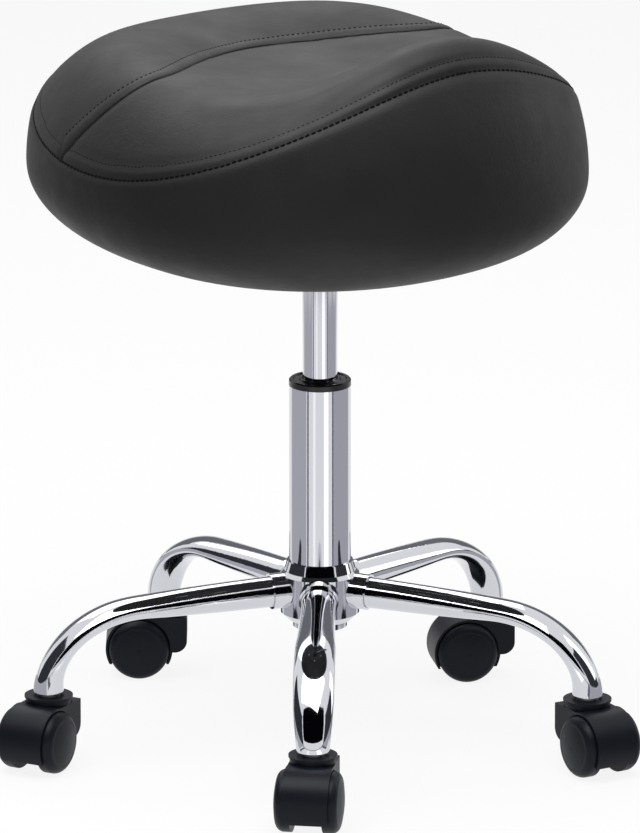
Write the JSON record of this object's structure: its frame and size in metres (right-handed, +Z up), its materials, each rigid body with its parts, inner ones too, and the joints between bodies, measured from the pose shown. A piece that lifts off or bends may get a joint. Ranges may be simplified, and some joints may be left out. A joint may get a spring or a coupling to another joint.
{
  "type": "rolling saddle stool",
  "caption": "Salon stool with a padded saddle seat in black leatherette on a chrome gas-lift column and a star base of bent tube legs on twin-wheel casters.",
  "frame": {"origin": "on the floor under the column's axis", "axes": "+Z up along the column, +Y into the picture, +X to its right"},
  "size_m": [0.5163, 0.5209, 0.609],
  "materials": {
    "chrome": "mirror plated",
    "black_plastic": "moulded, low gloss",
    "wheel_plastic": "moulded nylon",
    "leatherette": "soft grained, sewn",
    "foam": "moulded polyurethane foam",
    "plywood": "raw plywood",
    "lining": "woven lining",
    "black_rubber": "moulded",
    "grey_nylon": "moulded",
    "black_steel": "powder coated",
    "plain_steel": "zinc plated"
  },
  "bodies": {
    "base": {"base_hub": "chrome", "leg_1": "chrome", "leg_2": "chrome", "leg_3": "chrome", "leg_4": "chrome", "leg_5": "chrome", "caster_sockets": "grey_nylon", "column_tube": "chrome", "column_bush": "black_plastic", "column_end_plate": "plain_steel", "thrust_race_lower": "plain_steel", "thrust_balls": "plain_steel"},
    "piston": {"piston_rod": "plain_steel", "piston_head": "grey_nylon", "piston_seal": "black_rubber", "thrust_race_upper": "plain_steel", "rod_clip": "plain_steel", "rod_buffer": "black_rubber"},
    "seat": {"gas_cylinder": "chrome", "cylinder_guide": "grey_nylon", "taper_socket": "black_steel", "seat_plate": "black_steel", "seat_board": "plywood", "seat_foam": "foam", "seat_cover": "leatherette", "underside_cloth": "lining", "plate_bolts": "plain_steel", "tee_nuts": "plain_steel", "lever_bracket": "black_steel", "lever_pivot_pin": "plain_steel"},
    "lever": {"lift_lever": "plain_steel", "lever_handle": "black_plastic"},
    "release": {"release_pin": "plain_steel"},
    "caster_1": {"caster_1_hood": "black_plastic", "caster_1_stem": "plain_steel", "caster_1_axle": "plain_steel"},
    "caster_1_wheel_left": {"caster_1_wheel_left": "wheel_plastic"},
    "caster_1_wheel_right": {"caster_1_wheel_right": "wheel_plastic"},
    "caster_2": {"caster_2_hood": "black_plastic", "caster_2_stem": "plain_steel", "caster_2_axle": "plain_steel"},
    "caster_2_wheel_left": {"caster_2_wheel_left": "wheel_plastic"},
    "caster_2_wheel_right": {"caster_2_wheel_right": "wheel_plastic"},
    "caster_3": {"caster_3_hood": "black_plastic", "caster_3_stem": "plain_steel", "caster_3_axle": "plain_steel"},
    "caster_3_wheel_left": {"caster_3_wheel_left": "wheel_plastic"},
    "caster_3_wheel_right": {"caster_3_wheel_right": "wheel_plastic"},
    "caster_4": {"caster_4_hood": "black_plastic", "caster_4_stem": "plain_steel", "caster_4_axle": "plain_steel"},
    "caster_4_wheel_left": {"caster_4_wheel_left": "wheel_plastic"},
    "caster_4_wheel_right": {"caster_4_wheel_right": "wheel_plastic"},
    "caster_5": {"caster_5_hood": "black_plastic", "caster_5_stem": "plain_steel", "caster_5_axle": "plain_steel"},
    "caster_5_wheel_left": {"caster_5_wheel_left": "wheel_plastic"},
    "caster_5_wheel_right": {"caster_5_wheel_right": "wheel_plastic"}
  },
  "joints": [
    {"name": "seat_swivel", "type": "hinge", "parent": "base", "child": "piston", "pos_m": [0, 0, 0.115], "axis": [0, 0, 1], "continuous": true},
    {"name": "seat_lift", "type": "slide", "parent": "piston", "child": "seat", "axis": [0, 0, 1], "range_m": [-0.07, 0.06]},
    {"name": "lever_tip", "type": "hinge", "parent": "seat", "child": "lever", "pos_m": [0.02612, 0.02176, 0.4036], "axis": [0.6401, -0.7683, 0], "range_deg": [0, 4], "stiffness_Nm_per_rad": 6, "springref_deg": -5.73},
    {"name": "release_slide", "type": "slide", "parent": "seat", "child": "release", "axis": [0, 0, -1], "range_m": [0, 0.0025]},
    {"name": "caster_1_swivel", "type": "hinge", "parent": "base", "child": "caster_1", "pos_m": [-0.00556, -0.22743, 0.06], "axis": [0, 0, 1], "continuous": true},
    {"name": "caster_1_left_roll", "type": "hinge", "parent": "caster_1", "child": "caster_1_wheel_left", "pos_m": [-0.00858, -0.2472, 0.025], "axis": [0.9885, -0.1513, 0], "continuous": true},
    {"name": "caster_1_right_roll", "type": "hinge", "parent": "caster_1", "child": "caster_1_wheel_right", "pos_m": [-0.00858, -0.2472, 0.025], "axis": [0.9885, -0.1513, 0], "continuous": true},
    {"name": "caster_2_swivel", "type": "hinge", "parent": "base", "child": "caster_2", "pos_m": [0.21458, -0.07557, 0.06], "axis": [0, 0, 1], "continuous": true},
    {"name": "caster_2_left_roll", "type": "hinge", "parent": "caster_2", "child": "caster_2_wheel_left", "pos_m": [0.22473, -0.0928, 0.025], "axis": [0.8616, 0.5075, 0], "continuous": true},
    {"name": "caster_2_right_roll", "type": "hinge", "parent": "caster_2", "child": "caster_2_wheel_right", "pos_m": [0.22473, -0.0928, 0.025], "axis": [0.8616, 0.5075, 0], "continuous": true},
    {"name": "caster_3_swivel", "type": "hinge", "parent": "base", "child": "caster_3", "pos_m": [0.13818, 0.18073, 0.06], "axis": [0, 0, 1], "continuous": true},
    {"name": "caster_3_left_roll", "type": "hinge", "parent": "caster_3", "child": "caster_3_wheel_left", "pos_m": [0.11848, 0.17726, 0.025], "axis": [0.1736, -0.9848, 0], "continuous": true},
    {"name": "caster_3_right_roll", "type": "hinge", "parent": "caster_3", "child": "caster_3_wheel_right", "pos_m": [0.11848, 0.17726, 0.025], "axis": [0.1736, -0.9848, 0], "continuous": true},
    {"name": "caster_4_swivel", "type": "hinge", "parent": "base", "child": "caster_4", "pos_m": [-0.12918, 0.18726, 0.06], "axis": [0, 0, 1], "continuous": true},
    {"name": "caster_4_left_roll", "type": "hinge", "parent": "caster_4", "child": "caster_4_wheel_left", "pos_m": [-0.14918, 0.18726, 0.025], "axis": [0, -1, 0], "continuous": true},
    {"name": "caster_4_right_roll", "type": "hinge", "parent": "caster_4", "child": "caster_4_wheel_right", "pos_m": [-0.14918, 0.18726, 0.025], "axis": [0, -1, 0], "continuous": true},
    {"name": "caster_5_swivel", "type": "hinge", "parent": "base", "child": "caster_5", "pos_m": [-0.21802, -0.06499, 0.06], "axis": [0, 0, 1], "continuous": true},
    {"name": "caster_5_left_roll", "type": "hinge", "parent": "caster_5", "child": "caster_5_wheel_left", "pos_m": [-0.22744, -0.08264, 0.025], "axis": [0.8821, -0.471, 0], "continuous": true},
    {"name": "caster_5_right_roll", "type": "hinge", "parent": "caster_5", "child": "caster_5_wheel_right", "pos_m": [-0.22744, -0.08264, 0.025], "axis": [0.8821, -0.471, 0], "continuous": true}
  ],
  "couplings": [
    {"joint": "release_slide", "follows": "lever_tip", "m_per_rad": 0.034}
  ]
}
